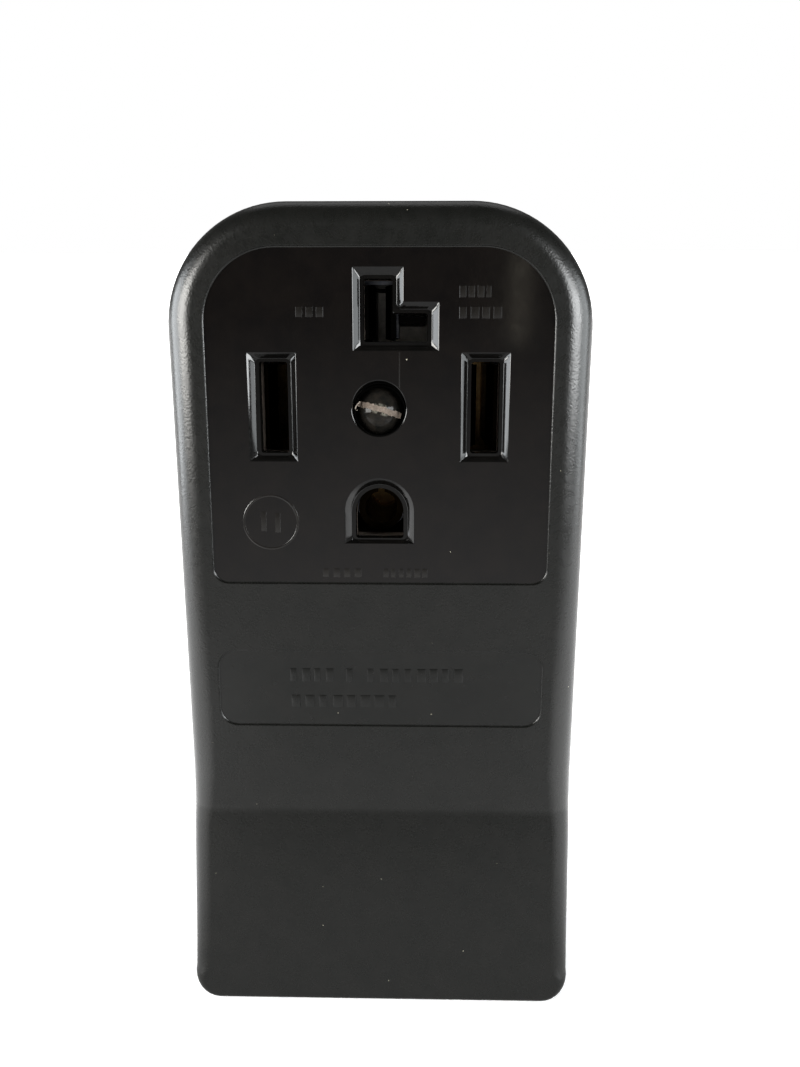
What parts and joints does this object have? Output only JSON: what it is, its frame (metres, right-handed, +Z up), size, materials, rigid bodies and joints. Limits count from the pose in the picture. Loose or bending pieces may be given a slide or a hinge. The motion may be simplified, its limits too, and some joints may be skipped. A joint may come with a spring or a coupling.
{
  "type": "surface-mounted power outlet",
  "caption": "Slant-faced black surface power outlet with L, upright and rounded slots, a cover held by a middle screw, screw terminals and a cable clamp behind.",
  "frame": {"origin": "on the wall plane, midway between the two wall-screw holes", "axes": "+Y into the wall, +Z up, +X to the right as seen from the front"},
  "size_m": [0.0632, 0.0515, 0.1235],
  "materials": {
    "cover_black": "satin moulded thermoplastic with a polished panel",
    "plate_black": "moulded thermoplastic",
    "deck_brown": "moulded thermoset",
    "brass": "stamped sheet",
    "nickel": "nickel-plated sheet",
    "spring_steel": "plain spring steel",
    "lug_metal": "extruded, tin-plated",
    "worn_screw": "blackened steel, worn bright at the slot",
    "plated_screw": "zinc-plated",
    "brass_screw": "machined",
    "green_screw": "green-dyed zinc",
    "fibre": "fibre washer"
  },
  "bodies": {
    "base": {"base_plate": "plate_black", "terminal_deck": "deck_brown", "contact_block": "deck_brown", "screw_insert": "brass", "assembly_screws": "plated_screw", "contact_hot_left": "brass", "contact_hot_right": "brass", "contact_neutral": "nickel", "contact_earth": "brass", "spring_hot_left": "spring_steel", "spring_hot_right": "spring_steel", "spring_neutral": "spring_steel", "spring_earth": "spring_steel", "lug_hot_left": "lug_metal", "lug_earth": "lug_metal", "lug_neutral": "lug_metal", "lug_hot_right": "lug_metal"},
    "cover": {"cover": "cover_black"},
    "cover_screw": {"cover_screw": "worn_screw", "screw_retainer": "fibre"},
    "clamp_strap": {"clamp_strap": "plated_screw"},
    "clamp_screw_left": {"clamp_screw_left": "plated_screw"},
    "clamp_screw_right": {"clamp_screw_right": "plated_screw"},
    "pad_hot_left": {"pad_hot_left": "spring_steel"},
    "set_screw_hot_left": {"set_screw_hot_left": "brass_screw"},
    "pad_earth": {"pad_earth": "spring_steel"},
    "set_screw_earth": {"set_screw_earth": "green_screw"},
    "pad_neutral": {"pad_neutral": "spring_steel"},
    "set_screw_neutral": {"set_screw_neutral": "plated_screw"},
    "pad_hot_right": {"pad_hot_right": "spring_steel"},
    "set_screw_hot_right": {"set_screw_hot_right": "brass_screw"}
  },
  "joints": [
    {"name": "cover_lift", "type": "slide", "parent": "base", "child": "cover", "axis": [0, -1, 0], "range_m": [0, 0.07]},
    {"name": "cover_screw_turn", "type": "hinge", "parent": "cover", "child": "cover_screw", "pos_m": [0, -0.045, 0.0223], "axis": [0, -1, 0], "continuous": true},
    {"name": "hot_left_clamp", "type": "slide", "parent": "base", "child": "pad_hot_left", "axis": [0, 0.986, 0.1668], "range_m": [0, 0.0045]},
    {"name": "hot_left_screw_turn", "type": "hinge", "parent": "pad_hot_left", "child": "set_screw_hot_left", "pos_m": [-0.0204, -0.02613, -0.01875], "axis": [0, 0.986, 0.1668], "range_deg": [0, 2026]},
    {"name": "earth_clamp", "type": "slide", "parent": "base", "child": "pad_earth", "axis": [0, 0.986, 0.1668], "range_m": [0, 0.0045]},
    {"name": "earth_screw_turn", "type": "hinge", "parent": "pad_earth", "child": "set_screw_earth", "pos_m": [-0.0068, -0.02613, -0.01875], "axis": [0, 0.986, 0.1668], "range_deg": [0, 2026]},
    {"name": "neutral_clamp", "type": "slide", "parent": "base", "child": "pad_neutral", "axis": [0, 0.986, 0.1668], "range_m": [0, 0.0045]},
    {"name": "neutral_screw_turn", "type": "hinge", "parent": "pad_neutral", "child": "set_screw_neutral", "pos_m": [0.0068, -0.02613, -0.01875], "axis": [0, 0.986, 0.1668], "range_deg": [0, 2026]},
    {"name": "hot_right_clamp", "type": "slide", "parent": "base", "child": "pad_hot_right", "axis": [0, 0.986, 0.1668], "range_m": [0, 0.0045]},
    {"name": "hot_right_screw_turn", "type": "hinge", "parent": "pad_hot_right", "child": "set_screw_hot_right", "pos_m": [0.0204, -0.02613, -0.01875], "axis": [0, 0.986, 0.1668], "range_deg": [0, 2026]},
    {"name": "cable_clamp_open", "type": "slide", "parent": "base", "child": "clamp_strap", "axis": [0, -1, 0], "range_m": [0, 0.005]},
    {"name": "clamp_screw_left_turn", "type": "hinge", "parent": "clamp_strap", "child": "clamp_screw_left", "pos_m": [-0.019, -0.012, -0.055], "axis": [0, -1, 0], "range_deg": [0, 2251]},
    {"name": "clamp_screw_right_turn", "type": "hinge", "parent": "clamp_strap", "child": "clamp_screw_right", "pos_m": [0.019, -0.012, -0.055], "axis": [0, -1, 0], "range_deg": [0, 2251]}
  ],
  "couplings": [
    {"joint": "hot_left_screw_turn", "follows": "hot_left_clamp", "rad_per_m": 7854},
    {"joint": "earth_screw_turn", "follows": "earth_clamp", "rad_per_m": 7854},
    {"joint": "neutral_screw_turn", "follows": "neutral_clamp", "rad_per_m": 7854},
    {"joint": "hot_right_screw_turn", "follows": "hot_right_clamp", "rad_per_m": 7854},
    {"joint": "clamp_screw_left_turn", "follows": "cable_clamp_open", "rad_per_m": 7854},
    {"joint": "clamp_screw_right_turn", "follows": "cable_clamp_open", "rad_per_m": 7854}
  ]
}
